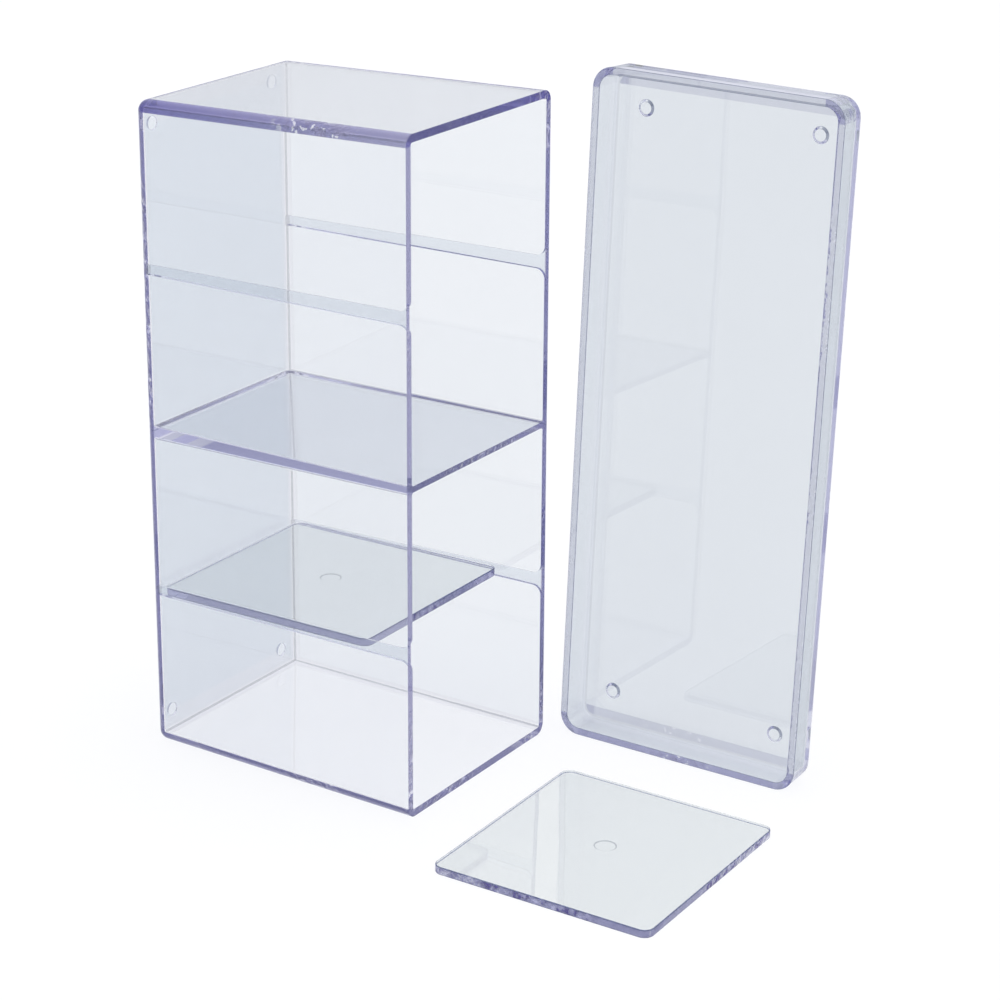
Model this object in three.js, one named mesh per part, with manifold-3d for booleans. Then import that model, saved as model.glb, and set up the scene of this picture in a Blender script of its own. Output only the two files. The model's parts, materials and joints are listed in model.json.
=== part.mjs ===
// Two-compartment card deck box: an open box with a fixed middle partition, two loose dividers
// and a shallow slip-over lid, all moulded in clear polystyrene.
// Millimetres, +Z up. The origin is the centre of the end face that the box stands on,
// +X points out of the open mouth, and +Y points to the back, where the lid stands.
import * as THREE from "three";
import { mergeVertices } from "three/addons/utils/BufferGeometryUtils.js";
import Module from "manifold-3d";

const wasm = await Module();
wasm.setup();

// ---- the box ----
const BOX_LENGTH = 205; // along Z as it stands, at the mouth
const BOX_WIDTH = 75.2; // along Y, at the mouth
const BOX_DEPTH = 95.4; // along X, from the outside of the floor to the mouth
const SIDE_WALL = 2.4; // thickness of the four side walls at the mouth
const FLOOR_WALL = 2.2; // thickness of the floor
const WIDTH_DRAFT = 0.95; // how far each broad side wall comes in by the floor, inside and out
const LENGTH_DRAFT = 1.7; // how far each end wall comes in by the floor, inside and out
const PARTITION_DRAFT = 0.6; // how far each face of the partition spreads by the floor
const BOX_CORNER = 3.4; // outer corner radius
const CORE_CORNER = 0.8; // radius in the inner corners
const RIM_ROUND = 0.25; // broken edge of the mouth
const PARTITION = 1.9; // thickness of the fixed partition at the mouth

// ---- grooves for the dividers ----
const GROOVE_DEPTH = 0.9; // into the side wall, at the mouth
const GROOVE_BOTTOM_DRAFT = 0.4; // how far the bottom of a groove comes in by the floor
const GROOVE_SIDE_CLEARANCE = 0.3; // divider face to groove side, at the floor end
const GROOVE_END_CLEARANCE = 0.4; // divider edge to groove bottom, at the floor end
const GROOVE_DRAFT = 0.5; // how much each side of a groove opens by the mouth
const LEAD_IN = 3.0; // radius that opens each groove at the mouth

// ---- dividers ----
const DIVIDER_THICKNESS = 2.5;
const DIVIDER_CORNER = 3.2;
const DIVIDER_ROUND = 0.3; // broken edges of the plate
const DIVIDER_SET_BACK = 1.8; // gap left between a fitted divider and the floor
const DIVIDER_FROM_MOUTH = 15.4; // how far a fitted divider stays behind the mouth
const GATE_RADIUS = 3.4; // round recess around the gate, in the middle of the upper face
const GATE_DEPTH = 0.3;

// ---- stacking feet on the floor and their sockets in the lid ----
const FOOT_FROM_SIDE = 9.2; // a foot's centre, in from the broad side of the mouth
const FOOT_FROM_END = 9.7; // a foot's centre, in from the end of the mouth
const FOOT_RADIUS = 2.3;
const FOOT_HEIGHT = 0.7;
const FOOT_SINK = 1.0; // how far a foot's root runs into the floor
const SOCKET_CLEARANCE = 0.25;

// ---- lid ----
const LID_CLEARANCE = 0.45; // skirt to box, with the lid pushed home
const LID_CORE_DRAFT = 0.35; // how much the skirt opens by its rim
const LID_DRAFT = 0.37; // how far the skirt comes in by the top plate
const SKIRT_WALL = 2.3; // at the rim
const SKIRT_REACH = 9.8; // how far the skirt reaches over the box
const LID_PLATE = 2.3;
const LID_EDGE_ROUND = 1.4; // rounded edge between the top plate and the skirt
const LID_CORE_ROUND = 1.0; // fillet between the skirt and the top plate

// ---- how the pieces are laid out ----
const LID_GAP_BEHIND = 4.1; // from the back of the box to the rim of the lid
const LID_GAP_BESIDE = 3.8; // from the mouth to the lid's nearer side
const LOOSE_GAP = 23.0; // from the mouth to the loose divider
const LOOSE_OFFSET = -22.6; // the loose divider's centre, from the box's centre line
const LAID_OUT_TURN = THREE.MathUtils.degToRad(0.8); // the lid and the loose divider, from square
const LIFT_OFF = 0.02; // the laid-out pieces rest this far above the surface

// ---- how finely round shapes are cut ----
const CORNER_STEPS = 6;
const ROUND_STEPS = 4;
const FOOT_SIDES = 20;
const OVERSHOOT = 1; // how far a cutter runs past the face it opens

// A closed solid from a THREE.BufferGeometry.
function solid(geometry) {
  const bare = geometry.index ? geometry.clone() : mergeVertices(geometry);
  bare.deleteAttribute("normal");
  bare.deleteAttribute("uv");
  const merged = mergeVertices(bare, 1e-4);
  return new wasm.Manifold(
    new wasm.Mesh({
      numProp: 3,
      vertProperties: new Float32Array(merged.attributes.position.array),
      triVerts: new Uint32Array(merged.index.array),
    }),
  );
}

// A THREE.BufferGeometry from a closed solid.
function geometryOf(manifold) {
  const mesh = manifold.getMesh();
  const geometry = new THREE.BufferGeometry();
  geometry.setAttribute("position", new THREE.BufferAttribute(mesh.vertProperties, 3));
  geometry.setIndex(new THREE.BufferAttribute(mesh.triVerts, 1));
  const flat = geometry.toNonIndexed();
  flat.computeVertexNormals();
  return flat;
}

// The outline of a rectangle with round corners, anticlockwise: [u, v] points.
function roundedOutline({ u0, u1, v0, v1, radius }) {
  const centres = [
    [u1 - radius, v1 - radius],
    [u0 + radius, v1 - radius],
    [u0 + radius, v0 + radius],
    [u1 - radius, v0 + radius],
  ];
  const points = [];
  centres.forEach(([u, v], quarter) => {
    for (let step = 0; step <= CORNER_STEPS; step++) {
      const angle = (quarter + step / CORNER_STEPS) * (Math.PI / 2);
      points.push([u + radius * Math.cos(angle), v + radius * Math.sin(angle)]);
    }
  });
  return points;
}

// The four corners of a rectangle, anticlockwise.
function sharpOutline({ u0, u1, v0, v1 }) {
  return [
    [u1, v1],
    [u0, v1],
    [u0, v0],
    [u1, v0],
  ];
}

// A closed body through a row of outlines, each at its own place along the run.
// The outlines lie in a plane of u and v, and place(u, v, along) gives the point.
function loft(stations, place) {
  const outline = stations.some((s) => s.radius > 0) ? roundedOutline : sharpOutline;
  const rings = stations.map((s) => outline(s).map(([u, v]) => place(u, v, s.along)));
  const count = rings[0].length;
  const vertices = rings.flat();
  const faces = [];
  for (let ring = 0; ring + 1 < rings.length; ring++) {
    for (let i = 0; i < count; i++) {
      const next = (i + 1) % count;
      const a = ring * count + i;
      const b = ring * count + next;
      faces.push([a, b, b + count], [a, b + count, a + count]);
    }
  }
  const last = (rings.length - 1) * count;
  for (let i = 1; i + 1 < count; i++) {
    faces.push([0, i + 1, i], [last, last + i, last + i + 1]);
  }
  const geometry = new THREE.BufferGeometry();
  geometry.setAttribute("position", new THREE.Float32BufferAttribute(vertices.flat(), 3));
  geometry.setIndex(faces.flat());
  return solid(geometry);
}

const alongX = (y, z, x) => [x, y, z];
const alongY = (z, x, y) => [x, y, z];
const alongZ = (x, y, z) => [x, y, z];

// One outline, brought in by a distance on every side.
function inset(frame, distance, along) {
  return {
    along,
    u0: frame.u0 + distance,
    u1: frame.u1 - distance,
    v0: frame.v0 + distance,
    v1: frame.v1 - distance,
    radius: Math.max(frame.radius - distance, 0.05),
  };
}

// Outlines that round off the end of a run: direction is +1 or -1 along the run.
function roundedEnd(frame, end, round, direction) {
  const stations = [];
  for (let step = 0; step <= ROUND_STEPS; step++) {
    const angle = (step / ROUND_STEPS) * (Math.PI / 2);
    const back = round * (1 - Math.sin(angle));
    const inwards = round * (1 - Math.cos(angle)) * 0.999;
    stations.push(inset(frame, inwards, end - direction * back));
  }
  return stations;
}

// ---- the box, in its own frame: mouth at x = 0, floor at x = -BOX_DEPTH, corner at the origin ----
function boxShell() {
  const mouth = { u0: 0, u1: BOX_WIDTH, v0: 0, v1: BOX_LENGTH, radius: BOX_CORNER };
  const floor = {
    u0: WIDTH_DRAFT,
    u1: BOX_WIDTH - WIDTH_DRAFT,
    v0: LENGTH_DRAFT,
    v1: BOX_LENGTH - LENGTH_DRAFT,
    radius: BOX_CORNER,
  };
  return loft(
    [
      ...roundedEnd(floor, -BOX_DEPTH, BOX_CORNER, -1).reverse(),
      inset(mouth, 0, -RIM_ROUND),
      inset(mouth, RIM_ROUND, 0),
    ],
    alongX,
  );
}

const partitionLow = (BOX_LENGTH - PARTITION) / 2;
const partitionHigh = (BOX_LENGTH + PARTITION) / 2;
const compartments = {
  lower: {
    low: SIDE_WALL,
    high: partitionLow,
    lowDraft: LENGTH_DRAFT,
    highDraft: PARTITION_DRAFT,
  },
  upper: {
    low: partitionHigh,
    high: BOX_LENGTH - SIDE_WALL,
    lowDraft: PARTITION_DRAFT,
    highDraft: LENGTH_DRAFT,
  },
};
const innerFloor = -BOX_DEPTH + FLOOR_WALL;

function compartmentCore({ low, high, lowDraft, highDraft }) {
  const mouth = {
    u0: SIDE_WALL,
    u1: BOX_WIDTH - SIDE_WALL,
    v0: low,
    v1: high,
    radius: CORE_CORNER,
  };
  const floor = {
    u0: mouth.u0 + WIDTH_DRAFT,
    u1: mouth.u1 - WIDTH_DRAFT,
    v0: low + lowDraft,
    v1: high - highDraft,
    radius: CORE_CORNER,
  };
  return loft(
    [
      ...roundedEnd(floor, innerFloor, CORE_CORNER, -1).reverse(),
      inset(mouth, 0, 0),
      inset(mouth, 0, OVERSHOOT),
    ],
    alongX,
  );
}

const grooveHalfAtFloor = DIVIDER_THICKNESS / 2 + GROOVE_SIDE_CLEARANCE;
const grooveHalfAtMouth = grooveHalfAtFloor + GROOVE_DRAFT;

// The height of a compartment's grooves: the middle of the compartment.
const grooveLevel = ({ low, high }) => (low + high) / 2;

// A groove's cutter, for the side wall at y = 0.
function grooveCutter(level) {
  const bottomAtMouth = SIDE_WALL - GROOVE_DEPTH;
  const bottomAt = (x) => bottomAtMouth + GROOVE_BOTTOM_DRAFT * (x / innerFloor);
  const topAt = (x) => SIDE_WALL + OVERSHOOT + WIDTH_DRAFT * (x / innerFloor);
  const station = (x, half) => ({
    along: x,
    u0: bottomAt(x),
    u1: topAt(x),
    v0: level - half,
    v1: level + half,
    radius: 0,
  });
  const stations = [station(innerFloor, grooveHalfAtFloor)];
  for (let step = 0; step <= CORNER_STEPS; step++) {
    const angle = (step / CORNER_STEPS) * (Math.PI / 2);
    const x = -LEAD_IN * (1 - Math.sin(angle));
    stations.push(station(x, grooveHalfAtMouth + LEAD_IN * (1 - Math.cos(angle))));
  }
  stations.push(station(OVERSHOOT, grooveHalfAtMouth + LEAD_IN));
  return loft(stations, alongX);
}

// A short round post along X, from x0 to x1, centred at y and z.
function post(x0, x1, y, z, radius) {
  const shape = new THREE.CylinderGeometry(radius, radius, x1 - x0, FOOT_SIDES);
  shape.rotateZ(-Math.PI / 2);
  shape.translate((x0 + x1) / 2, y, z);
  return solid(shape);
}

// The feet's centres, from the middle of the floor: [across, along].
function footPlaces() {
  const halfAcross = BOX_WIDTH / 2 - FOOT_FROM_SIDE;
  const halfAlong = BOX_LENGTH / 2 - FOOT_FROM_END;
  return [
    [-halfAcross, -halfAlong],
    [-halfAcross, halfAlong],
    [halfAcross, -halfAlong],
    [halfAcross, halfAlong],
  ];
}

function boxBody() {
  let body = boxShell();
  for (const compartment of Object.values(compartments)) {
    body = body.subtract(compartmentCore(compartment));
    const cutter = grooveCutter(grooveLevel(compartment));
    const opposite = cutter.mirror([0, 1, 0]).translate([0, BOX_WIDTH, 0]);
    body = body.subtract(cutter).subtract(opposite);
  }
  for (const [across, along] of footPlaces()) {
    const y = BOX_WIDTH / 2 + across;
    const z = BOX_LENGTH / 2 + along;
    const foot = post(-BOX_DEPTH - FOOT_HEIGHT, -BOX_DEPTH + FOOT_SINK, y, z, FOOT_RADIUS);
    body = body.add(foot);
  }
  return body;
}

// ---- dividers, in a frame of their own: length along X, centred, lying on z = 0 ----
const dividerLength = BOX_DEPTH - FLOOR_WALL - DIVIDER_SET_BACK - DIVIDER_FROM_MOUTH;
const dividerWidth =
  BOX_WIDTH - 2 * (SIDE_WALL - GROOVE_DEPTH + GROOVE_BOTTOM_DRAFT + GROOVE_END_CLEARANCE);

function divider() {
  const plate = {
    u0: -dividerLength / 2,
    u1: dividerLength / 2,
    v0: -dividerWidth / 2,
    v1: dividerWidth / 2,
    radius: DIVIDER_CORNER,
  };
  const body = loft(
    [
      inset(plate, DIVIDER_ROUND, 0),
      inset(plate, 0, DIVIDER_ROUND),
      inset(plate, 0, DIVIDER_THICKNESS - DIVIDER_ROUND),
      inset(plate, DIVIDER_ROUND, DIVIDER_THICKNESS),
    ],
    alongZ,
  );
  const gate = new THREE.CylinderGeometry(
    GATE_RADIUS,
    GATE_RADIUS,
    GATE_DEPTH + OVERSHOOT,
    FOOT_SIDES,
  );
  gate.rotateX(Math.PI / 2);
  gate.translate(0, 0, DIVIDER_THICKNESS + (OVERSHOOT - GATE_DEPTH) / 2);
  return body.subtract(solid(gate));
}

// ---- lid, in a frame of its own: rim on y = 0, top plate at the back, corner at the origin ----
const lidInnerWidth = BOX_WIDTH + 2 * (LID_CLEARANCE + LID_CORE_DRAFT);
const lidInnerLength = BOX_LENGTH + 2 * (LID_CLEARANCE + LID_CORE_DRAFT);
const lidWidth = lidInnerWidth + 2 * SKIRT_WALL;
const lidLength = lidInnerLength + 2 * SKIRT_WALL;
const lidHeight = SKIRT_REACH + LID_PLATE;
const lidInnerCorner = BOX_CORNER + LID_CLEARANCE + LID_CORE_DRAFT;
const lidCorner = lidInnerCorner + SKIRT_WALL;

function lidBody() {
  const rim = { u0: 0, u1: lidLength, v0: 0, v1: lidWidth, radius: lidCorner };
  const top = inset(rim, LID_DRAFT, 0);
  const shell = loft(
    [inset(rim, 0, 0), ...roundedEnd(top, lidHeight, LID_EDGE_ROUND, 1)],
    alongY,
  );
  const mouth = inset(rim, SKIRT_WALL, 0);
  const inner = inset(mouth, LID_CORE_DRAFT, 0);
  const core = loft(
    [
      inset(mouth, 0, -OVERSHOOT),
      inset(mouth, 0, 0),
      ...roundedEnd(inner, SKIRT_REACH, LID_CORE_ROUND, 1),
    ],
    alongY,
  );
  let body = shell.subtract(core);
  for (const [across, along] of footPlaces()) {
    const x = lidWidth / 2 + across;
    const z = lidLength / 2 + along;
    const socket = new THREE.CylinderGeometry(
      FOOT_RADIUS + SOCKET_CLEARANCE,
      FOOT_RADIUS + SOCKET_CLEARANCE,
      FOOT_HEIGHT + SOCKET_CLEARANCE + OVERSHOOT,
      FOOT_SIDES,
    );
    socket.translate(x, lidHeight + (OVERSHOOT - FOOT_HEIGHT - SOCKET_CLEARANCE) / 2, z);
    body = body.subtract(solid(socket));
  }
  return body;
}

// ---- materials: one clear resin, with the faint violet cast that shows in thick sections ----
function clearResin(colour) {
  return new THREE.MeshStandardMaterial({
    color: colour,
    roughness: 0.06,
    metalness: 0,
    transparent: true,
    opacity: 0.35,
  });
}

function piece(name, manifold, colour) {
  const mesh = new THREE.Mesh(geometryOf(manifold), clearResin(colour));
  mesh.name = name;
  return mesh;
}

// ---- assembly ----
const assembly = new THREE.Group();

// The box stands flat on one drafted end wall, so its mouth leans over by the draft angle.
// The flat of that wall runs from the rounded floor edge to the broken edge of the mouth.
const flatRun = BOX_DEPTH - BOX_CORNER - RIM_ROUND;
const standingAngle = Math.atan2(LENGTH_DRAFT, flatRun);
const mouthPlace =
  Math.hypot(flatRun, LENGTH_DRAFT) / 2 + RIM_ROUND * Math.cos(standingAngle);
const standing = new THREE.Group();
standing.rotation.y = -standingAngle;
standing.position.set(mouthPlace, -BOX_WIDTH / 2, RIM_ROUND * Math.sin(standingAngle));
assembly.add(standing);

standing.add(piece("box_body", boxBody(), 0xdfe2f0));

const fitted = piece("divider_fitted", divider(), 0xe1e4ee);
fitted.position.set(
  innerFloor + DIVIDER_SET_BACK + dividerLength / 2,
  BOX_WIDTH / 2,
  grooveLevel(compartments.lower) - DIVIDER_THICKNESS / 2,
);
standing.add(fitted);

const loose = piece("divider_loose", divider(), 0xe3e7ea);
loose.rotation.z = Math.PI / 2 + LAID_OUT_TURN;
loose.position.set(mouthPlace + LOOSE_GAP + dividerWidth / 2, LOOSE_OFFSET, LIFT_OFF);
assembly.add(loose);

// The lid stands on its drafted lower end too, so it leans back by that draft.
const lidLean = Math.atan2(LID_DRAFT, lidHeight - LID_EDGE_ROUND);
const leaning = new THREE.Group();
leaning.rotation.set(-lidLean, 0, LAID_OUT_TURN, "ZYX");
leaning.position.set(
  mouthPlace + LID_GAP_BESIDE,
  BOX_WIDTH / 2 + LID_GAP_BEHIND,
  LIFT_OFF,
);
leaning.add(piece("lid", lidBody(), 0xdde1ea));
assembly.add(leaning);

export default assembly;
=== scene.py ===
# Looks of the card deck box: an open box with a fixed partition, two plain dividers and a
# slip-over lid, all moulded in clear polystyrene with the faint violet cast that the resin
# shows along its edges. Metres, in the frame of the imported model.
import json
import math

import bmesh
import bpy
from mathutils import Matrix, Vector


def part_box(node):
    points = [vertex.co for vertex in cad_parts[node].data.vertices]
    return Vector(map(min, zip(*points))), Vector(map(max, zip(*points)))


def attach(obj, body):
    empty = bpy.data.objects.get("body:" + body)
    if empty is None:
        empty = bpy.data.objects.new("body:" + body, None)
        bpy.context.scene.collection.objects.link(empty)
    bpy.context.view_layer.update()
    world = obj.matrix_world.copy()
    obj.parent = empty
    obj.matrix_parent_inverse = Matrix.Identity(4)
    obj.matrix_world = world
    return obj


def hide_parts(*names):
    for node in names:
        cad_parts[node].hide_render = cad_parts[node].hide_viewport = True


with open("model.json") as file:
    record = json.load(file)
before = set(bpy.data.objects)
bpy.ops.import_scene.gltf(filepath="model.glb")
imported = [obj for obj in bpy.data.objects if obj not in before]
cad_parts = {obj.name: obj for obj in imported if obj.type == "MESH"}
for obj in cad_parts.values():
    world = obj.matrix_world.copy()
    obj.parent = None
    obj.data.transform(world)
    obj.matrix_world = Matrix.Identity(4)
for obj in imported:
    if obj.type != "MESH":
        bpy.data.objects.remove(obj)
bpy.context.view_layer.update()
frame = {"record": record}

MM = 0.001

# ---- the box, as moulded ----
BOX_LENGTH = 205 * MM
BOX_WIDTH = 75.2 * MM
BOX_DEPTH = 95.4 * MM
SIDE_WALL = 2.4 * MM
FLOOR_WALL = 2.2 * MM
WIDTH_DRAFT = 0.95 * MM
LENGTH_DRAFT = 1.7 * MM
PARTITION_DRAFT = 0.6 * MM
BOX_CORNER = 3.4 * MM
CORE_CORNER = 0.8 * MM
PARTITION = 1.9 * MM

# ---- grooves for the dividers ----
GROOVE_DEPTH = 0.9 * MM
GROOVE_BOTTOM_DRAFT = 0.4 * MM
GROOVE_SIDE_CLEARANCE = 0.3 * MM
GROOVE_END_CLEARANCE = 0.4 * MM
GROOVE_DRAFT = 0.5 * MM
LEAD_IN = 3.0 * MM

# ---- dividers ----
DIVIDER_SET_BACK = 1.8 * MM
DIVIDER_FROM_MOUTH = 15.4 * MM
DIVIDER_LENGTH = BOX_DEPTH - FLOOR_WALL - DIVIDER_SET_BACK - DIVIDER_FROM_MOUTH
DIVIDER_THICKNESS = 2.5 * MM
DIVIDER_CORNER = 3.2 * MM
DIVIDER_ROUND = 0.3 * MM
DIVIDER_WIDTH = BOX_WIDTH - 2 * (
    SIDE_WALL - GROOVE_DEPTH + GROOVE_BOTTOM_DRAFT + GROOVE_END_CLEARANCE
)
GATE_RADIUS = 3.4 * MM
GATE_SLOPE = 0.45 * MM
GATE_DEPTH = 0.2 * MM

# ---- stacking feet and their sockets ----
FOOT_FROM_SIDE = 9.2 * MM
FOOT_FROM_END = 9.7 * MM
FOOT_SPAN_WIDTH = BOX_WIDTH - 2 * FOOT_FROM_SIDE
FOOT_SPAN_LENGTH = BOX_LENGTH - 2 * FOOT_FROM_END
FOOT_RADIUS = 2.3 * MM
FOOT_HEIGHT = 0.7 * MM
FOOT_SINK = 1.0 * MM
FOOT_TAPER = 0.3 * MM
SOCKET_CLEARANCE = 0.25 * MM
SOCKET_TAPER = 0.7 * MM

# ---- lid ----
LID_CLEARANCE = 0.45 * MM
LID_CORE_DRAFT = 0.35 * MM
LID_DRAFT = 0.37 * MM
SKIRT_WALL = 2.3 * MM
SKIRT_REACH = 9.8 * MM
LID_PLATE = 2.3 * MM
LID_EDGE_ROUND = 1.4 * MM
LID_CORE_ROUND = 1.0 * MM
LAID_OUT_TURN = math.radians(0.8)

# ---- how finely round shapes are cut ----
CORNER_STEPS = 12
ROUND_STEPS = 8
LEAD_IN_STEPS = 12
FOOT_SIDES = 48
OVERSHOOT = 1 * MM
LEAST_RADIUS = 0.05 * MM
MERGE_WITHIN = 0.001 * MM
CUT_WITHIN = 0.0001 * MM
# A round stops just short of its full turn, so that no two corners meet.
SHORT_OF_FULL = 0.999

collection = bpy.context.scene.collection


def link(mesh, name):
    piece = bpy.data.objects.new(name, mesh)
    collection.objects.link(piece)
    return piece


# ---- solids ----
def rounded_outline(station):
    """The outline of a rectangle with round corners, anticlockwise."""
    u0, u1, v0, v1, radius = (station[key] for key in ("u0", "u1", "v0", "v1", "radius"))
    if radius <= 0:
        return [(u1, v1), (u0, v1), (u0, v0), (u1, v0)]
    centres = (
        (u1 - radius, v1 - radius),
        (u0 + radius, v1 - radius),
        (u0 + radius, v0 + radius),
        (u1 - radius, v0 + radius),
    )
    points = []
    for quarter, (u, v) in enumerate(centres):
        for step in range(CORNER_STEPS + 1):
            angle = (quarter + step / CORNER_STEPS) * math.pi / 2
            points.append((u + radius * math.cos(angle), v + radius * math.sin(angle)))
    return points


def along_x(u, v, along):
    return (along, u, v)


def along_y(u, v, along):
    return (v, along, u)


def along_z(u, v, along):
    return (u, v, along)


def loft(name, stations, place):
    """A closed body through a row of outlines, each at its own place along the run."""
    shell = bmesh.new()
    rings = []
    for outline in stations:
        points = [place(u, v, outline["along"]) for u, v in rounded_outline(outline)]
        rings.append([shell.verts.new(point) for point in points])
    for lower, upper in zip(rings, rings[1:]):
        for i in range(len(lower)):
            j = (i + 1) % len(lower)
            shell.faces.new((lower[i], lower[j], upper[j], upper[i]))
    shell.faces.new(rings[0])
    shell.faces.new(rings[-1])
    bmesh.ops.recalc_face_normals(shell, faces=shell.faces)
    mesh = bpy.data.meshes.new(name)
    shell.to_mesh(mesh)
    shell.free()
    return link(mesh, name)


def station(along, u0, u1, v0, v1, radius):
    return {"along": along, "u0": u0, "u1": u1, "v0": v0, "v1": v1, "radius": radius}


def inset(outline, distance, along):
    """One outline, brought in by a distance on every side."""
    return station(
        along,
        outline["u0"] + distance,
        outline["u1"] - distance,
        outline["v0"] + distance,
        outline["v1"] - distance,
        max(outline["radius"] - distance, LEAST_RADIUS),
    )


def rounded_end(outline, end, round_, direction):
    """Outlines that round off the end of a run."""
    stations = []
    for step in range(ROUND_STEPS + 1):
        angle = step / ROUND_STEPS * math.pi / 2
        back = round_ * (1 - math.sin(angle))
        inwards = round_ * (1 - math.cos(angle)) * SHORT_OF_FULL
        stations.append(inset(outline, inwards, end - direction * back))
    return stations


def settled(piece):
    """The piece as a plain mesh, with its modifiers applied."""
    evaluated = piece.evaluated_get(bpy.context.evaluated_depsgraph_get())
    mesh = bpy.data.meshes.new_from_object(evaluated)
    piece.modifiers.clear()
    old = piece.data
    piece.data = mesh
    bpy.data.meshes.remove(old)
    return piece


def combine(body, tool, operation):
    """Adds the tool to the body, or cuts it out, and drops the tool."""
    cut = body.modifiers.new("cut", "BOOLEAN")
    cut.object = tool
    cut.operation = operation
    cut.solver = "EXACT"
    settled(body)
    mesh = tool.data
    bpy.data.objects.remove(tool)
    bpy.data.meshes.remove(mesh)


# ---- Geometry Nodes ----
def new_tree(name, sizes):
    """A geometry tree with named sizes as its inputs."""
    tree = bpy.data.node_groups.new(name, "GeometryNodeTree")
    tree.is_modifier = True
    sockets = {}
    for label, (kind, value) in sizes.items():
        socket = tree.interface.new_socket(label, in_out="INPUT", socket_type=kind)
        if value is not None:
            socket.default_value = value
        sockets[label] = socket.identifier
    tree.interface.new_socket("Geometry", in_out="OUTPUT", socket_type="NodeSocketGeometry")
    start = tree.nodes.new("NodeGroupInput")
    end = tree.nodes.new("NodeGroupOutput")
    return tree, start, end, sockets


def run_tree(name, tree, sockets, values):
    """The tree's result as a plain mesh object."""
    piece = link(bpy.data.meshes.new(name), name)
    modifier = piece.modifiers.new("shape", "NODES")
    modifier.node_group = tree
    for label, value in values.items():
        modifier[sockets[label]] = value
    return settled(piece)


def node(tree, kind, links=(), **values):
    """One node of a tree, with its plain settings and its incoming links."""
    made = tree.nodes.new(kind)
    for key, value in values.items():
        setattr(made, key, value)
    for target, source in links:
        if hasattr(source, "is_output"):
            tree.links.new(source, made.inputs[target])
        else:
            made.inputs[target].default_value = value_for(made.inputs[target], source)
    return made


def value_for(socket, value):
    if socket.type == "RGBA" and len(value) == 3:
        return (*value, 1.0)
    return value


def posts_tree():
    """Round posts at the four corners of a span, standing up from Z = 0."""
    tree, start, end, sockets = new_tree(
        "corner posts",
        {
            "Span Across": ("NodeSocketFloat", FOOT_SPAN_WIDTH),
            "Span Along": ("NodeSocketFloat", FOOT_SPAN_LENGTH),
            "Root Radius": ("NodeSocketFloat", FOOT_RADIUS),
            "Tip Radius": ("NodeSocketFloat", FOOT_RADIUS),
            "Height": ("NodeSocketFloat", FOOT_HEIGHT),
            "Sides": ("NodeSocketInt", FOOT_SIDES),
            "Finish": ("NodeSocketMaterial", None),
        },
    )
    places = node(
        tree,
        "GeometryNodeMeshGrid",
        [
            ("Size X", start.outputs["Span Across"]),
            ("Size Y", start.outputs["Span Along"]),
            ("Vertices X", 2),
            ("Vertices Y", 2),
        ],
    )
    post = node(
        tree,
        "GeometryNodeMeshCone",
        [
            ("Vertices", start.outputs["Sides"]),
            ("Radius Bottom", start.outputs["Root Radius"]),
            ("Radius Top", start.outputs["Tip Radius"]),
            ("Depth", start.outputs["Height"]),
        ],
    )
    copies = node(
        tree,
        "GeometryNodeInstanceOnPoints",
        [("Points", places.outputs["Mesh"]), ("Instance", post.outputs["Mesh"])],
    )
    real = node(tree, "GeometryNodeRealizeInstances", [("Geometry", copies.outputs[0])])
    finish = node(
        tree,
        "GeometryNodeSetMaterial",
        [("Geometry", real.outputs[0]), ("Material", start.outputs["Finish"])],
    )
    tree.links.new(finish.outputs[0], end.inputs[0])
    return tree, sockets


def plate_tree():
    """A flat plate with round corners, lying on Z = 0."""
    tree, start, end, sockets = new_tree(
        "divider plate",
        {
            "Length": ("NodeSocketFloat", DIVIDER_LENGTH),
            "Width": ("NodeSocketFloat", DIVIDER_WIDTH),
            "Thickness": ("NodeSocketFloat", DIVIDER_THICKNESS),
            "Corner Radius": ("NodeSocketFloat", DIVIDER_CORNER),
            "Corner Steps": ("NodeSocketInt", CORNER_STEPS),
            "Finish": ("NodeSocketMaterial", None),
        },
    )
    outline = node(
        tree,
        "GeometryNodeCurvePrimitiveQuadrilateral",
        [("Width", start.outputs["Length"]), ("Height", start.outputs["Width"])],
    )
    rounded = node(
        tree,
        "GeometryNodeFilletCurve",
        [
            ("Curve", outline.outputs[0]),
            ("Radius", start.outputs["Corner Radius"]),
            ("Count", start.outputs["Corner Steps"]),
        ],
        mode="POLY",
    )
    top = node(tree, "ShaderNodeCombineXYZ", [("Z", start.outputs["Thickness"])])
    rise = node(tree, "GeometryNodeCurvePrimitiveLine", [("End", top.outputs[0])])
    plate = node(
        tree,
        "GeometryNodeCurveToMesh",
        [
            ("Curve", rise.outputs[0]),
            ("Profile Curve", rounded.outputs[0]),
            ("Fill Caps", True),
        ],
    )
    real = node(tree, "GeometryNodeRealizeInstances", [("Geometry", plate.outputs[0])])
    finish = node(
        tree,
        "GeometryNodeSetMaterial",
        [("Geometry", real.outputs[0]), ("Material", start.outputs["Finish"])],
    )
    tree.links.new(finish.outputs[0], end.inputs[0])
    return tree, sockets


# ---- shared effects ----
def effect_group(name, inputs, outputs):
    tree = bpy.data.node_groups.new(name, "ShaderNodeTree")
    for label, kind, value in inputs:
        socket = tree.interface.new_socket(label, in_out="INPUT", socket_type=kind)
        if value is not None:
            socket.default_value = value
    for label, kind in outputs:
        tree.interface.new_socket(label, in_out="OUTPUT", socket_type=kind)
    start = tree.nodes.new("NodeGroupInput")
    end = tree.nodes.new("NodeGroupOutput")
    return tree, start, end


def math_node(tree, operation, first, second=0.0, clamp=False):
    made = node(tree, "ShaderNodeMath", [(0, first), (1, second)], operation=operation)
    made.use_clamp = clamp
    return made.outputs[0]


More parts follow.
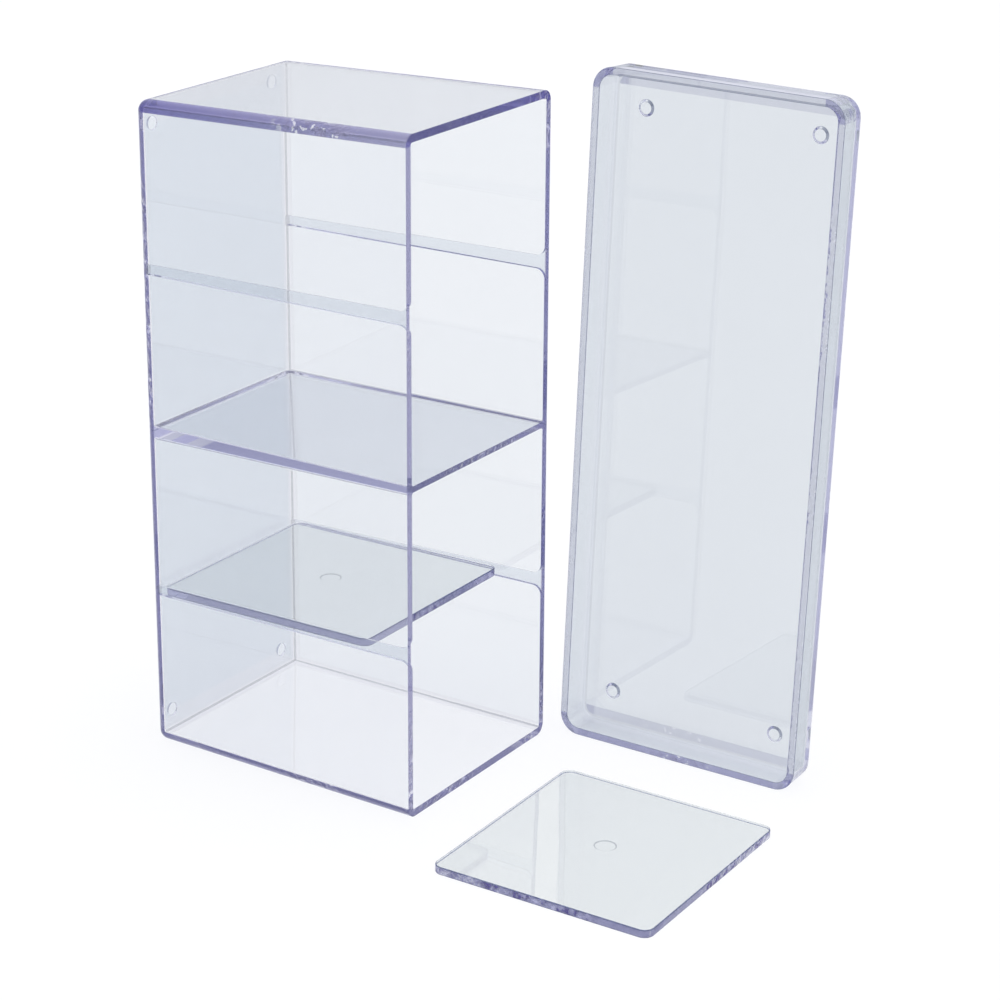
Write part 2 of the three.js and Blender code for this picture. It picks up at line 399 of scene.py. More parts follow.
def mould_flow_group():
    """Slow waves over the moulded faces."""
    tree, start, end = effect_group(
        "mould flow",
        [
            ("Vector", "NodeSocketVector", None),
            ("Wave Scale", "NodeSocketFloat", 18.0),
            ("Wave Height", "NodeSocketFloat", 0.2),
            ("Shade Depth", "NodeSocketFloat", 0.02),
        ],
        [("Shade", "NodeSocketFloat"), ("Height", "NodeSocketFloat")],
    )
    waves = node(
        tree,
        "ShaderNodeTexNoise",
        [
            ("Vector", start.outputs["Vector"]),
            ("Scale", start.outputs["Wave Scale"]),
            ("Detail", 1.0),
            ("Roughness", 0.4),
        ],
    )
    centred = math_node(tree, "SUBTRACT", waves.outputs[0], 0.5)
    depth = math_node(tree, "MULTIPLY", centred, start.outputs["Shade Depth"])
    shade = math_node(tree, "ADD", depth, 1.0)
    height = math_node(tree, "MULTIPLY", centred, start.outputs["Wave Height"])
    tree.links.new(shade, end.inputs["Shade"])
    tree.links.new(height, end.inputs["Height"])
    return tree


def handling_group():
    """Fine dust and rub marks: a mask over the surface."""
    tree, start, end = effect_group(
        "handling marks",
        [
            ("Vector", "NodeSocketVector", None),
            ("Speck Scale", "NodeSocketFloat", 900.0),
            ("Rub Scale", "NodeSocketFloat", 60.0),
            ("Amount", "NodeSocketFloat", 1.0),
        ],
        [("Mask", "NodeSocketFloat")],
    )
    specks = node(
        tree,
        "ShaderNodeTexNoise",
        [
            ("Vector", start.outputs["Vector"]),
            ("Scale", start.outputs["Speck Scale"]),
            ("Detail", 2.0),
        ],
    )
    rubs = node(
        tree,
        "ShaderNodeTexNoise",
        [
            ("Vector", start.outputs["Vector"]),
            ("Scale", start.outputs["Rub Scale"]),
            ("Detail", 3.0),
        ],
    )
    dots = node(
        tree,
        "ShaderNodeMapRange",
        [("Value", specks.outputs[0]), ("From Min", 0.7), ("From Max", 0.8)],
    )
    patches = node(
        tree,
        "ShaderNodeMapRange",
        [("Value", rubs.outputs[0]), ("From Min", 0.45), ("From Max", 0.75), ("To Max", 0.5)],
    )
    both = math_node(tree, "ADD", dots.outputs[0], patches.outputs[0])
    mask = math_node(tree, "MULTIPLY", both, start.outputs["Amount"], clamp=True)
    tree.links.new(mask, end.inputs["Mask"])
    return tree


def edge_fleck_group():
    """Dark streaks and bright flecks along the edges; the bright flecks are painted glints,
    white highlights mixed into the colour.
    """
    tree, start, end = effect_group(
        "edge flecks",
        [
            ("Vector", "NodeSocketVector", None),
            ("Edge", "NodeSocketFloat", 0.0),
            ("Fleck Scale", "NodeSocketFloat", 420.0),
            ("Patch Scale", "NodeSocketFloat", 24.0),
            ("Cover", "NodeSocketFloat", 0.5),
            ("Relief", "NodeSocketFloat", 3.5),
        ],
        [
            ("Streaks", "NodeSocketFloat"),
            ("Glints", "NodeSocketFloat"),
            ("Height", "NodeSocketFloat"),
        ],
    )
    flecks = node(
        tree,
        "ShaderNodeTexNoise",
        [
            ("Vector", start.outputs["Vector"]),
            ("Scale", start.outputs["Fleck Scale"]),
            ("Detail", 2.0),
        ],
    )
    patches = node(
        tree,
        "ShaderNodeTexNoise",
        [
            ("Vector", start.outputs["Vector"]),
            ("Scale", start.outputs["Patch Scale"]),
            ("Detail", 0.0),
        ],
    )
    least = math_node(tree, "SUBTRACT", 1.0, start.outputs["Cover"])
    most = math_node(tree, "ADD", least, 0.12)
    where = node(
        tree,
        "ShaderNodeMapRange",
        [("Value", patches.outputs[0]), ("From Min", least), ("From Max", most)],
    )
    on_edge = math_node(tree, "MULTIPLY", where.outputs[0], start.outputs["Edge"])
    centred = math_node(tree, "SUBTRACT", flecks.outputs[0], 0.5)
    lift = math_node(tree, "MULTIPLY", centred, start.outputs["Relief"])
    height = math_node(tree, "MULTIPLY", lift, on_edge)
    dark = node(
        tree,
        "ShaderNodeMapRange",
        [("Value", flecks.outputs[0]), ("From Min", 0.46), ("From Max", 0.6)],
    )
    faint = math_node(tree, "MULTIPLY", start.outputs["Edge"], 0.35)
    stretch = math_node(tree, "ADD", faint, on_edge, clamp=True)
    streaks = math_node(tree, "MULTIPLY", dark.outputs[0], stretch)
    # Painted highlights: pale flecks that turn into white glints in the colour.
    pale = node(
        tree,
        "ShaderNodeMapRange",
        [("Value", flecks.outputs[0]), ("From Min", 0.38), ("From Max", 0.34)],
    )
    glints = math_node(tree, "MULTIPLY", pale.outputs[0], on_edge)
    tree.links.new(streaks, end.inputs["Streaks"])
    tree.links.new(glints, end.inputs["Glints"])
    tree.links.new(height, end.inputs["Height"])
    return tree


POLYSTYRENE_IOR = 1.58
CLEAN_ROUGHNESS = 0.008
RUBBED_ROUGHNESS = 0.035
RELIEF_HEIGHT = 0.4 * MM
# Light that has turned this often inside the resin leaves it by the straight way.
MOST_INNER_REFLECTIONS = 2.5
MOST_TURNS = 8.5
ESCAPE_TINT = (0.80, 0.80, 0.90)
SHADOW_TINT = (0.993, 0.994, 0.996)
# Edges seen at first hand look deepest; behind another wall they pale to this share.
FAR_EDGE_SHARE = 0.25
STREAK_TINT = (0.03, 0.02, 0.16)
# Painted shade: the dark lines that refraction draws along edges, inner corners and the rims
# of gates and sockets.
PAINTED_LINE_TINT = (0.06, 0.08, 0.15)
# Painted shade: the colour that darkens the grooves, each flat wall by its tone, and the
# lid's inner skirt.
PAINTED_SHADE_TINT = (0.62, 0.675, 0.75)
# Painted highlights: the white that the glints mix into the colour along the edges.
GLINT_TINT = (1.0, 1.0, 1.0)
CAST = (0.66, 0.665, 0.78)

mould_flow = mould_flow_group()
handling_marks = handling_group()
edge_flecks = edge_fleck_group()


def clear_resin(name, face_tint, edge_tint, cast_density, flow_scale, fleck_cover):
    """Clear polystyrene: glassy, with a cast that deepens the further light goes inside."""
    material = bpy.data.materials.new(name)
    material.use_nodes = True
    tree = material.node_tree
    tree.nodes.clear()
    place = node(tree, "ShaderNodeTexCoord").outputs["Object"]
    edge, line, groove = (
        node(tree, "ShaderNodeAttribute", attribute_name=f"{label}_zone").outputs["Fac"]
        for label in ("edge", "line", "groove")
    )
    flow = node(tree, "ShaderNodeGroup", node_tree=mould_flow)
    marks = node(tree, "ShaderNodeGroup", node_tree=handling_marks)
    flecks = node(tree, "ShaderNodeGroup", node_tree=edge_flecks)
    for group in (flow, marks, flecks):
        tree.links.new(place, group.inputs["Vector"])
    flow.inputs["Wave Scale"].default_value = flow_scale
    flecks.inputs["Cover"].default_value = fleck_cover
    path = node(tree, "ShaderNodeLightPath")
    first_hand = math_node(tree, "LESS_THAN", path.outputs["Transmission Depth"], 0.5)
    nearness = node(
        tree,
        "ShaderNodeMapRange",
        [("Value", first_hand), ("To Min", FAR_EDGE_SHARE), ("To Max", 1.0)],
    )
    depth = math_node(tree, "MULTIPLY", edge, nearness.outputs[0])
    near_edge = math_node(tree, "MULTIPLY", edge, first_hand)
    tree.links.new(near_edge, flecks.inputs["Edge"])
    edge_colour = node(
        tree,
        "ShaderNodeMix",
        [("Factor", flecks.outputs["Streaks"]), (6, edge_tint), (7, STREAK_TINT)],
        data_type="RGBA",
    )
    # Painted shade: the groove zone mixes the shade colour into the face colour.
    wall = node(
        tree,
        "ShaderNodeMix",
        [("Factor", groove), (6, face_tint), (7, PAINTED_SHADE_TINT)],
        data_type="RGBA",
    )
    edged = node(
        tree,
        "ShaderNodeMix",
        [("Factor", depth), (6, wall.outputs[2]), (7, edge_colour.outputs[2])],
        data_type="RGBA",
    )
    # Painted dark lines, mixed into the colour by the line zone.
    lined = node(
        tree,
        "ShaderNodeMix",
        [("Factor", line), (6, edged.outputs[2]), (7, PAINTED_LINE_TINT)],
        data_type="RGBA",
    )
    # Painted highlights: the glints mix white into the colour.
    tint = node(
        tree,
        "ShaderNodeMix",
        [("Factor", flecks.outputs["Glints"]), (6, lined.outputs[2]), (7, GLINT_TINT)],
        data_type="RGBA",
    )
    shade = node(tree, "ShaderNodeCombineColor")
    for channel in ("Red", "Green", "Blue"):
        tree.links.new(flow.outputs["Shade"], shade.inputs[channel])
    colour = node(
        tree,
        "ShaderNodeMix",
        [("Factor", 1.0), (6, tint.outputs[2]), (7, shade.outputs[0])],
        data_type="RGBA",
        blend_type="MULTIPLY",
        clamp_result=True,
    )
    rough = node(
        tree,
        "ShaderNodeMapRange",
        [
            ("Value", marks.outputs["Mask"]),
            ("To Min", CLEAN_ROUGHNESS),
            ("To Max", RUBBED_ROUGHNESS),
        ],
    )
    relief = math_node(tree, "ADD", flow.outputs["Height"], flecks.outputs["Height"])
    bump = node(
        tree,
        "ShaderNodeBump",
        [("Strength", 1.0), ("Distance", RELIEF_HEIGHT), ("Height", relief)],
    )
    resin = node(
        tree,
        "ShaderNodeBsdfPrincipled",
        [
            ("Base Color", colour.outputs[2]),
            ("Roughness", rough.outputs[0]),
            ("IOR", POLYSTYRENE_IOR),
            ("Transmission Weight", 1.0),
            ("Normal", bump.outputs[0]),
        ],
    )
    reflections = path.outputs["Glossy Depth"]
    many = math_node(tree, "GREATER_THAN", reflections, MOST_INNER_REFLECTIONS)
    long_way = math_node(tree, "GREATER_THAN", path.outputs["Ray Depth"], MOST_TURNS)
    spent = math_node(tree, "MAXIMUM", many, long_way)
    escape = node(tree, "ShaderNodeBsdfTransparent", [("Color", ESCAPE_TINT)])
    glassy = node(
        tree,
        "ShaderNodeMixShader",
        [(0, spent), (1, resin.outputs[0]), (2, escape.outputs[0])],
    )
    scattered = math_node(tree, "GREATER_THAN", path.outputs["Diffuse Depth"], 0.5)
    lit = math_node(tree, "MAXIMUM", path.outputs["Is Shadow Ray"], scattered)
    let_through = node(tree, "ShaderNodeBsdfTransparent", [("Color", SHADOW_TINT)])
    surface = node(
        tree,
        "ShaderNodeMixShader",
        [(0, lit), (1, glassy.outputs[0]), (2, let_through.outputs[0])],
    )
    inside = node(
        tree, "ShaderNodeVolumeAbsorption", [("Color", CAST), ("Density", cast_density)]
    )
    out = node(tree, "ShaderNodeOutputMaterial")
    tree.links.new(surface.outputs[0], out.inputs["Surface"])
    tree.links.new(inside.outputs[0], out.inputs["Volume"])
    return material


box_resin = clear_resin(
    "box resin",
    face_tint=(0.98, 0.985, 0.99),
    edge_tint=(0.035, 0.03, 0.21),
    cast_density=18,
    flow_scale=18,
    fleck_cover=0.48,
)
divider_resin = clear_resin(
    "divider resin",
    face_tint=(0.85, 0.88, 0.875),
    edge_tint=(0.45, 0.46, 0.55),
    cast_density=20,
    flow_scale=26,
    fleck_cover=0.55,
)
lid_resin = clear_resin(
    "lid resin",
    face_tint=(0.73, 0.765, 0.805),
    edge_tint=(0.10, 0.10, 0.30),
    cast_density=25,
    flow_scale=15,
    fleck_cover=0.5,
)


# ---- finishing a piece ----
EDGE_BREAK = 0.16 * MM
BROKEN_EDGE = 1
BREAK_STEPS = 2
SHARP_FROM = math.radians(32)
FACE_WEIGHT = 100
# A face larger than this is one of the flat walls.
BROAD_AREA = 280 * MM * MM


def break_edges(piece, width=EDGE_BREAK):
    """Rounds the sharp edges slightly and keeps broad faces flat in their shading."""
    for _ in range(BROKEN_EDGE + 1):
        piece.data.materials.append(None)
    bevel = piece.modifiers.new("broken edges", "BEVEL")
    bevel.material = BROKEN_EDGE
    bevel.width = width
    bevel.segments = BREAK_STEPS
    bevel.limit_method = "ANGLE"
    bevel.angle_limit = SHARP_FROM
    settled(piece)
    piece.data.shade_smooth()
    weigh = piece.modifiers.new("flat faces", "WEIGHTED_NORMAL")
    weigh.mode = "FACE_AREA"
    weigh.weight = FACE_WEIGHT
    settled(piece)


def mark_zones(piece, zone_of, run=None):
    """Stores how far each face takes the colour of an edge, a painted dark line and painted
    shade (the groove zone).

    A pair of values is blended along the run, from its start to its end.
    """
    mesh = piece.data
    found = [zone_of(face) for face in mesh.polygons]
    for label in ("edge", "line", "groove"):
        values = [0.0] * len(mesh.loops)
        for face, zones in zip(mesh.polygons, found):
            share = zones.get(label, 0.0)
            for corner in face.loop_indices:
                if isinstance(share, tuple):
                    along = run(mesh.vertices[mesh.loops[corner].vertex_index].co)
                    values[corner] = share[0] + (share[1] - share[0]) * along
                else:
                    values[corner] = share
        zone = mesh.attributes.new(f"{label}_zone", "FLOAT", "CORNER")
        zone.data.foreach_set("value", values)


def split_faces(piece, cuts):
    """Parts the faces along planes, so that each part can have its own zone."""
    shell = bmesh.new()
    shell.from_mesh(piece.data)
    for place, normal in cuts:
        bmesh.ops.bisect_plane(
            shell,
            geom=[*shell.verts, *shell.edges, *shell.faces],
            dist=CUT_WITHIN,
            plane_co=place,
            plane_no=normal,
        )
    shell.to_mesh(piece.data)
    shell.free()


def seat(piece, node_name, turn):
    """Turns the piece into the row frame and centres it on its CAD node."""
    piece.data.transform(turn)
    low = [min(v.co[i] for v in piece.data.vertices) for i in range(3)]
    high = [max(v.co[i] for v in piece.data.vertices) for i in range(3)]
    node_low, node_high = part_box(node_name)
    shift = [(node_low[i] + node_high[i] - low[i] - high[i]) / 2 for i in range(3)]
    piece.data.transform(Matrix.Translation(shift))
    piece.data.update()


def dress(piece, material):
    piece.data.materials.clear()
    piece.data.materials.append(material)


# ---- the box body ----
posts, post_sockets = posts_tree()


def corner_posts(name, root_radius, tip_radius, height, middle, turn):
    """Four posts that narrow evenly, turned and put with their middle at a place."""
    made = run_tree(
        name,
        posts,
        post_sockets,
        {
            "Span Across": FOOT_SPAN_WIDTH,
            "Span Along": FOOT_SPAN_LENGTH,
            "Root Radius": root_radius,
            "Tip Radius": tip_radius,
            "Height": height,
            "Sides": FOOT_SIDES,
        },
    )
    made.data.materials.clear()
    to_middle = Matrix.Translation((0, 0, -height / 2))
    made.data.transform(Matrix.Translation(middle) @ turn @ to_middle)
    return made


INNER_FLOOR = -BOX_DEPTH + FLOOR_WALL
partition_low = (BOX_LENGTH - PARTITION) / 2
partition_high = (BOX_LENGTH + PARTITION) / 2
COMPARTMENTS = (
    ("lower", SIDE_WALL, partition_low, LENGTH_DRAFT, PARTITION_DRAFT),
    ("upper", partition_high, BOX_LENGTH - SIDE_WALL, PARTITION_DRAFT, LENGTH_DRAFT),
)


def box_shell():
    mouth = station(0, 0, BOX_WIDTH, 0, BOX_LENGTH, BOX_CORNER)
    floor = station(
        0,
        WIDTH_DRAFT,
        BOX_WIDTH - WIDTH_DRAFT,
        LENGTH_DRAFT,
        BOX_LENGTH - LENGTH_DRAFT,
        BOX_CORNER,
    )
    rounds = rounded_end(floor, -BOX_DEPTH, BOX_CORNER, -1)[::-1]
    return loft("box_body_clear", [*rounds, mouth], along_x)


def compartment_core(name, low, high, low_draft, high_draft):
    mouth = station(0, SIDE_WALL, BOX_WIDTH - SIDE_WALL, low, high, CORE_CORNER)
    floor = station(
        0,
        SIDE_WALL + WIDTH_DRAFT,
        BOX_WIDTH - SIDE_WALL - WIDTH_DRAFT,
        low + low_draft,
        high - high_draft,
        CORE_CORNER,
    )
    rounds = rounded_end(floor, INNER_FLOOR, CORE_CORNER, -1)[::-1]
    return loft(f"core_{name}", [*rounds, mouth, inset(mouth, 0, OVERSHOOT)], along_x)


def groove_cutter(name, level, far_side):
    half_at_floor = DIVIDER_THICKNESS / 2 + GROOVE_SIDE_CLEARANCE
    half_at_mouth = half_at_floor + GROOVE_DRAFT

    def slice_at(x, half):
        share = x / INNER_FLOOR
        bottom = SIDE_WALL - GROOVE_DEPTH + GROOVE_BOTTOM_DRAFT * share
        top = SIDE_WALL + OVERSHOOT + WIDTH_DRAFT * share
        sides = (BOX_WIDTH - top, BOX_WIDTH - bottom) if far_side else (bottom, top)
        return station(x, *sides, level - half, level + half, 0)

    stations = [slice_at(INNER_FLOOR, half_at_floor)]
    for step in range(LEAD_IN_STEPS + 1):
        angle = step / LEAD_IN_STEPS * math.pi / 2
        half = half_at_mouth + LEAD_IN * (1 - math.cos(angle))
        stations.append(slice_at(-LEAD_IN * (1 - math.sin(angle)), half))
    stations.append(slice_at(OVERSHOOT, half_at_mouth + LEAD_IN))
    return loft(name, stations, along_x)


# Narrow bands near a plane or an edge, by which a face is told from its neighbours.
CLOSE = 0.1 * MM
RIM_BAND = 0.5 * MM
ROUND_BAND = 1.2 * MM
NEAR_INNER_CORNER = 0.6 * CORE_CORNER

# Painted shade: how far each flat wall takes the shade colour, one tone per wall.
FLOOR_PAINTED_SHADE = 0.8
FAR_SIDE_PAINTED_SHADE = 0.36
NEAR_SIDE_PAINTED_SHADE = 0.05
PARTITION_PAINTED_SHADE = 0.4
TOP_END_PAINTED_SHADE = 0.08


def wall_painted_shade(face):
    """How much painted shade each flat wall takes, a tone chosen for each wall."""
    x, y, z = face.center
    facing = max(range(3), key=lambda i: abs(face.normal[i]))
    if facing == 0:
        return FLOOR_PAINTED_SHADE
    if facing == 1:
        return FAR_SIDE_PAINTED_SHADE if y > BOX_WIDTH / 2 else NEAR_SIDE_PAINTED_SHADE
    if abs(z - BOX_LENGTH / 2) < PARTITION + PARTITION_DRAFT:
        return PARTITION_PAINTED_SHADE
    return TOP_END_PAINTED_SHADE if z > BOX_LENGTH / 2 else 0.0


def box_zone(face):
    """Deep on the rim and the outer rounds, painted shade in the grooves, a tone of painted
    shade on each flat wall, painted dark lines on broken edges and inner corners.
    """
    x, y, z = face.center
    share = -x / BOX_DEPTH
    width_now = WIDTH_DRAFT * share
    length_now = LENGTH_DRAFT * share
    from_side = min(y, BOX_WIDTH - y) - width_now
    from_end = min(z, BOX_LENGTH - z) - length_now
    from_outside = min(x + BOX_DEPTH, from_side, from_end)
    from_partition = abs(z - BOX_LENGTH / 2) - PARTITION / 2 - PARTITION_DRAFT * share
    from_groove = min(abs(z - (low + high) / 2) for _, low, high, _, _ in COMPARTMENTS)
    on_groove_line = from_groove < DIVIDER_THICKNESS + LEAD_IN
    if x < -BOX_DEPTH - 0.1 * CLOSE:
        return {}
    # Broken edges and faces near the inner corners take painted dark lines.
    if face.material_index == BROKEN_EDGE:
        return {"edge": 0.5, "line": 1.0}
    at_top = z > BOX_LENGTH - BOX_CORNER - LENGTH_DRAFT
    if x > -RIM_BAND:
        return {"edge": 1.0 if at_top else 0.86}
    in_wall = GROOVE_DEPTH < from_side < SIDE_WALL - 0.2 * CLOSE
    # Painted shade in the grooves.
    if on_groove_line and in_wall and x + BOX_DEPTH > FLOOR_WALL + CLOSE:
        return {"groove": 1.0}
    # Each broad flat wall takes its own tone of painted shade.
    if face.area > BROAD_AREA:
        return {"groove": wall_painted_shade(face)}
    if from_outside < ROUND_BAND:
        return {"edge": (0.9, 1.0) if at_top else 0.88}
    beside = sum(
        gap < SIDE_WALL + NEAR_INNER_CORNER
        for gap in (x + BOX_DEPTH, from_side, from_end, from_partition + SIDE_WALL)
    )
    return {"line": 0.6} if beside >= 2 else {}


def make_box():
    body = box_shell()
    for name, low, high, low_draft, high_draft in COMPARTMENTS:
        combine(body, compartment_core(name, low, high, low_draft, high_draft), "DIFFERENCE")
        for far_side in (False, True):
            cutter = groove_cutter(f"groove_{name}", (low + high) / 2, far_side)
            combine(body, cutter, "DIFFERENCE")
    middle = (-BOX_DEPTH + (FOOT_SINK - FOOT_HEIGHT) / 2, BOX_WIDTH / 2, BOX_LENGTH / 2)
    turn = Matrix(((0, 0, 1, 0), (1, 0, 0, 0), (0, 1, 0, 0), (0, 0, 0, 1)))
    # Turned this way, a post starts at the foot's free end and ends inside the floor.
    free_end = FOOT_RADIUS - FOOT_TAPER
    feet = corner_posts("feet", free_end, FOOT_RADIUS, FOOT_HEIGHT + FOOT_SINK, middle, turn)
    combine(body, feet, "UNION")
    split_faces(
        body,
        (((0, 0, BOX_CORNER), (0, 0, 1)), ((0, 0, BOX_LENGTH - BOX_CORNER), (0, 0, 1))),
    )
    break_edges(body)
    mark_zones(body, box_zone, lambda co: min(max(-co.x / BOX_DEPTH, 0.0), 1.0))
    joints = frame["record"]["behaviour"]["joints"]
    slide = next(joint for joint in joints if joint["name"] == "divider_slide")
    lean = math.atan2(slide["axis"][2], slide["axis"][0])
    return body, Matrix.Rotation(-lean, 4, "Y")


box_piece, box_turn = make_box()
seat(box_piece, "box_body", box_turn)
dress(box_piece, box_resin)


# ---- the dividers ----
plates, plate_sockets = plate_tree()


def divider_zone(face):
    # Broken edges and the gate's sloped ring take painted dark lines.
    if face.material_index == BROKEN_EDGE:
        return {"edge": 0.4, "line": 1.0}
    on_gate = math.hypot(face.center.x, face.center.y) < GATE_RADIUS
    if on_gate and face.area < BROAD_AREA:
        return {"line": 0.6} if face.normal.z < 0.97 else {}
    return {"edge": 1.0} if abs(face.normal.z) < 0.9 else {}


def gate_cutter():
    """A very shallow dish with sloping sides, left where the resin was let in."""
    grow = GATE_SLOPE * OVERSHOOT / GATE_DEPTH
    rings = []
    for radius, along in (
        (GATE_RADIUS - GATE_SLOPE, DIVIDER_THICKNESS - GATE_DEPTH),
        (GATE_RADIUS + grow, DIVIDER_THICKNESS + OVERSHOOT),
    ):
        rings.append(station(along, -radius, radius, -radius, radius, radius * SHORT_OF_FULL))
    return loft("gate", rings, along_z)


def make_divider(name):
    plate = run_tree(
        name,
        plates,
        plate_sockets,
        {
            "Length": DIVIDER_LENGTH,
            "Width": DIVIDER_WIDTH,
            "Thickness": DIVIDER_THICKNESS,
            "Corner Radius": DIVIDER_CORNER,
            "Corner Steps": CORNER_STEPS,
        },
    )
    shell = bmesh.new()
    shell.from_mesh(plate.data)
    bmesh.ops.remove_doubles(shell, verts=shell.verts, dist=MERGE_WITHIN)
    bmesh.ops.recalc_face_normals(shell, faces=shell.faces)
    shell.to_mesh(plate.data)
    shell.free()
    combine(plate, gate_cutter(), "DIFFERENCE")
    break_edges(plate, DIVIDER_ROUND)
    mark_zones(plate, divider_zone)
    return plate


fitted_piece = make_divider("divider_fitted_clear")
seat(fitted_piece, "divider_fitted", box_turn)
dress(fitted_piece, divider_resin)

loose_piece = make_divider("divider_loose_clear")
seat(loose_piece, "divider_loose", Matrix.Rotation(math.pi / 2 + LAID_OUT_TURN, 4, "Z"))
dress(loose_piece, divider_resin)


# ---- the lid ----
LID_WIDTH = BOX_WIDTH + 2 * (LID_CLEARANCE + LID_CORE_DRAFT + SKIRT_WALL)
LID_LENGTH = BOX_LENGTH + 2 * (LID_CLEARANCE + LID_CORE_DRAFT + SKIRT_WALL)
LID_HEIGHT = SKIRT_REACH + LID_PLATE
LID_CORNER = BOX_CORNER + LID_CLEARANCE + LID_CORE_DRAFT + SKIRT_WALL
# The last part of the inner round, where it runs out into the plate.
ROUND_RUN_OUT = 0.13 * LID_CORE_ROUND


def lid_zone(face):
    """Deepest at the corners and the foot of the rim, none on the plate and flat skirt."""
    x, y, z = face.center
    from_side = min(x, LID_WIDTH - x)
    from_end = min(z, LID_LENGTH - z)
    inside = min(from_side, from_end)
    at_corner = max(from_side, from_end) < LID_CORNER
    # Socket walls, broken edges, the rim and the inner round's run-out take painted dark
    # lines.
    if inside > LID_CORNER and y > SKIRT_REACH + CLOSE:
        return {} if abs(face.normal.y) > 0.95 else {"line": 0.95}
    if face.material_index == BROKEN_EDGE:
        return {"edge": 0.4, "line": 0.9}
    if y < RIM_BAND:
        if at_corner:
            return {"edge": 0.85}
        return {"edge": 0.9} if z < SKIRT_WALL else {"edge": 0.25, "line": 0.12}
    if y > SKIRT_REACH and face.area < BROAD_AREA:
        return {"edge": 0.6} if at_corner else {"edge": 0.4}
    if at_corner and inside < SKIRT_WALL / 2 + LID_DRAFT:
        return {"edge": 0.45}
    on_round = SKIRT_REACH - ROUND_RUN_OUT < y < SKIRT_REACH
    if on_round and face.area < BROAD_AREA:
        return {"line": 0.2}
    # Painted shade on the inner skirt.
    if inside > SKIRT_WALL - CLOSE and y < SKIRT_REACH - CLOSE:
        return {"groove": 0.3}
    return {}


def make_lid():
    rim = station(0, 0, LID_LENGTH, 0, LID_WIDTH, LID_CORNER)
    top = inset(rim, LID_DRAFT, 0)
    body = loft("lid_clear", [rim, *rounded_end(top, LID_HEIGHT, LID_EDGE_ROUND, 1)], along_y)
    mouth = inset(rim, SKIRT_WALL, 0)
    inner = inset(mouth, LID_CORE_DRAFT, 0)
    core = [inset(mouth, 0, -OVERSHOOT), mouth]
    core += rounded_end(inner, SKIRT_REACH, LID_CORE_ROUND, 1)
    combine(body, loft("core_lid", core, along_y), "DIFFERENCE")
    depth = FOOT_HEIGHT + SOCKET_CLEARANCE + OVERSHOOT
    middle = (
        LID_WIDTH / 2,
        LID_HEIGHT + (OVERSHOOT - FOOT_HEIGHT - SOCKET_CLEARANCE) / 2,
        LID_LENGTH / 2,
    )
    turn = Matrix.Rotation(math.pi / 2, 4, "X")
    mouth_radius = FOOT_RADIUS + SOCKET_CLEARANCE
    slope = SOCKET_TAPER / (FOOT_HEIGHT + SOCKET_CLEARANCE)
    sockets = corner_posts(
        "sockets",
        mouth_radius + slope * OVERSHOOT,
        mouth_radius - SOCKET_TAPER,
        depth,
        middle,
        turn,
    )
    combine(body, sockets, "DIFFERENCE")
    split_faces(
        body,
        (
            ((LID_CORNER, 0, 0), (1, 0, 0)),
            ((LID_WIDTH - LID_CORNER, 0, 0), (1, 0, 0)),
            ((0, 0, LID_CORNER), (0, 0, 1)),
            ((0, 0, LID_LENGTH - LID_CORNER), (0, 0, 1)),
        ),
    )
    break_edges(body)
    mark_zones(body, lid_zone)
    lean = math.atan2(LID_DRAFT, LID_HEIGHT - LID_EDGE_ROUND)
    return body, Matrix.Rotation(LAID_OUT_TURN, 4, "Z") @ Matrix.Rotation(-lean, 4, "X")


lid_piece, lid_turn = make_lid()
seat(lid_piece, "lid", lid_turn)
dress(lid_piece, lid_resin)

# ---- what each piece stands for ----
for piece, cad_node, body, finish in (
    (box_piece, "box_body", "box", "box_resin"),
    (fitted_piece, "divider_fitted", "divider_in_grooves", "divider_resin"),
    (loose_piece, "divider_loose", "divider_on_table", "divider_resin"),
    (lid_piece, "lid", "lid_piece", "lid_resin"),
):
    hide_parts(cad_node)
    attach(piece, body)


# ---- floor, light and camera ----
FLOOR_REACH = 6.0
FLOOR_DROP = 0.05 * MM
FLOOR_WHITE = (0.93, 0.93, 0.93, 1)


def make_floor():
    mesh = bpy.data.meshes.new("studio_floor")
    corners = [(-1, -1), (1, -1), (1, 1), (-1, 1)]
    points = [(x * FLOOR_REACH, y * FLOOR_REACH, -FLOOR_DROP) for x, y in corners]
    mesh.from_pydata(points, [], [(0, 1, 2, 3)])
    floor = link(mesh, "studio_floor")
    paper = bpy.data.materials.new("white sweep")
    paper.use_nodes = True
    shader = paper.node_tree.nodes["Principled BSDF"]
    shader.inputs["Base Color"].default_value = FLOOR_WHITE
    shader.inputs["Roughness"].default_value = 0.9
    shader.inputs["Specular IOR Level"].default_value = 0.1
    mesh.materials.append(paper)


make_floor()

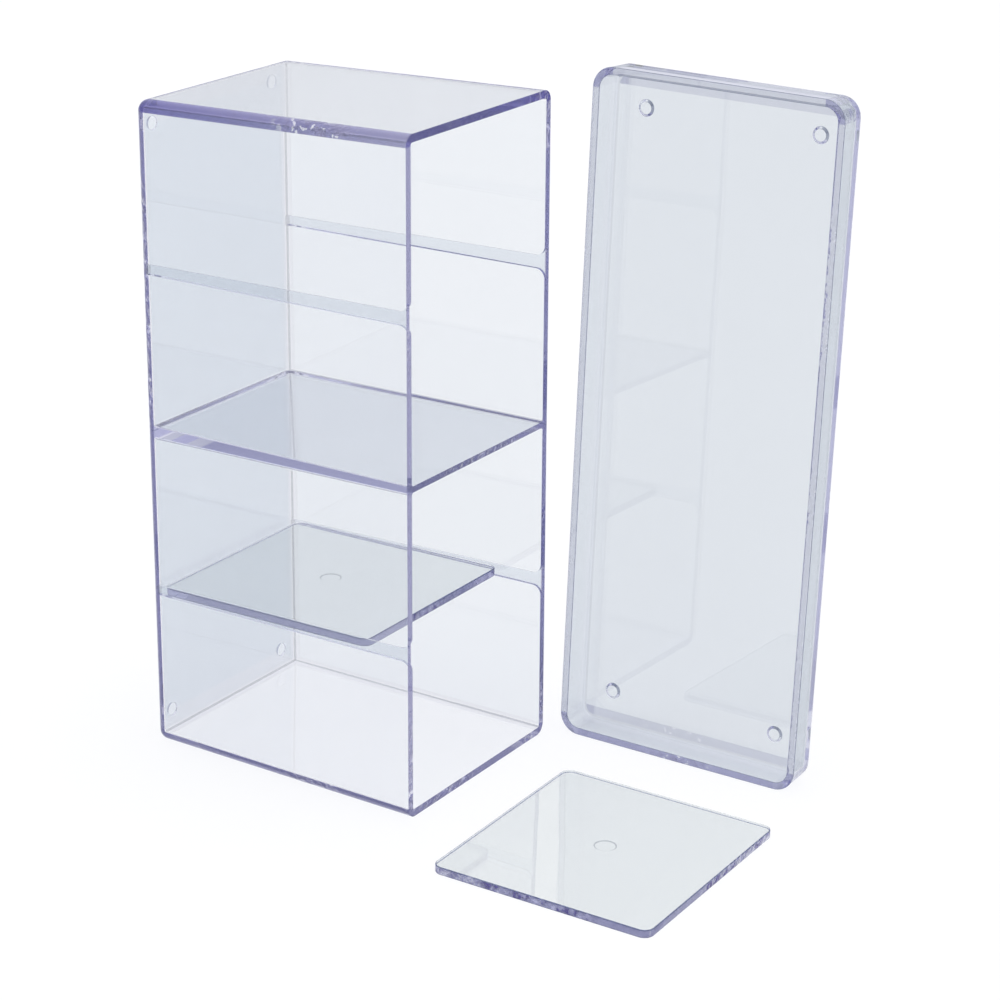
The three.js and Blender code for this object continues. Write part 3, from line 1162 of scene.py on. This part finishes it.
LIGHT_STRENGTH = 1.2
LOW_LIGHT = (0.5, 0.52, 0.56, 1)
HIGH_LIGHT = (1.0, 1.0, 1.0, 1)
HIGH_LIGHT_FROM = 0.7

world = bpy.data.worlds.new("soft studio")
world.use_nodes = True
background = world.node_tree.nodes["Background"]
background.inputs["Strength"].default_value = LIGHT_STRENGTH
sky = node(world.node_tree, "ShaderNodeTexCoord").outputs["Generated"]
height = node(world.node_tree, "ShaderNodeSeparateXYZ", [(0, sky)]).outputs["Z"]
ramp = node(world.node_tree, "ShaderNodeValToRGB", [("Fac", height)])
ramp.color_ramp.elements[0].color = LOW_LIGHT
ramp.color_ramp.elements[1].color = HIGH_LIGHT
ramp.color_ramp.elements[1].position = HIGH_LIGHT_FROM
world.node_tree.links.new(ramp.outputs[0], background.inputs["Color"])
bpy.context.scene.world = world

CAMERA_PLACE = Vector((0.4745, -0.6766, 0.3890))
CAMERA_TURN = math.radians(32.0)
CAMERA_DROP = math.radians(20.514)
CAMERA_ROLL = math.radians(1.371)
CAMERA_LENS = 104.7
CAMERA_SENSOR = 36


def make_camera():
    lens = bpy.data.cameras.new("studio_camera")
    lens.lens = CAMERA_LENS
    lens.sensor_width = CAMERA_SENSOR
    lens.clip_start = 0.01
    lens.clip_end = 50
    camera = bpy.data.objects.new("studio_camera", lens)
    collection.objects.link(camera)
    forward = Vector(
        (
            -math.sin(CAMERA_TURN) * math.cos(CAMERA_DROP),
            math.cos(CAMERA_TURN) * math.cos(CAMERA_DROP),
            -math.sin(CAMERA_DROP),
        )
    )
    level = Vector((math.cos(CAMERA_TURN), math.sin(CAMERA_TURN), 0))
    upward = level.cross(forward)
    right = level * math.cos(CAMERA_ROLL) + upward * math.sin(CAMERA_ROLL)
    top = upward * math.cos(CAMERA_ROLL) - level * math.sin(CAMERA_ROLL)
    turn = Matrix((right, top, -forward)).transposed().to_4x4()
    camera.matrix_world = Matrix.Translation(CAMERA_PLACE) @ turn
    bpy.context.scene.camera = camera


make_camera()
bpy.context.scene.view_settings.view_transform = "Standard"
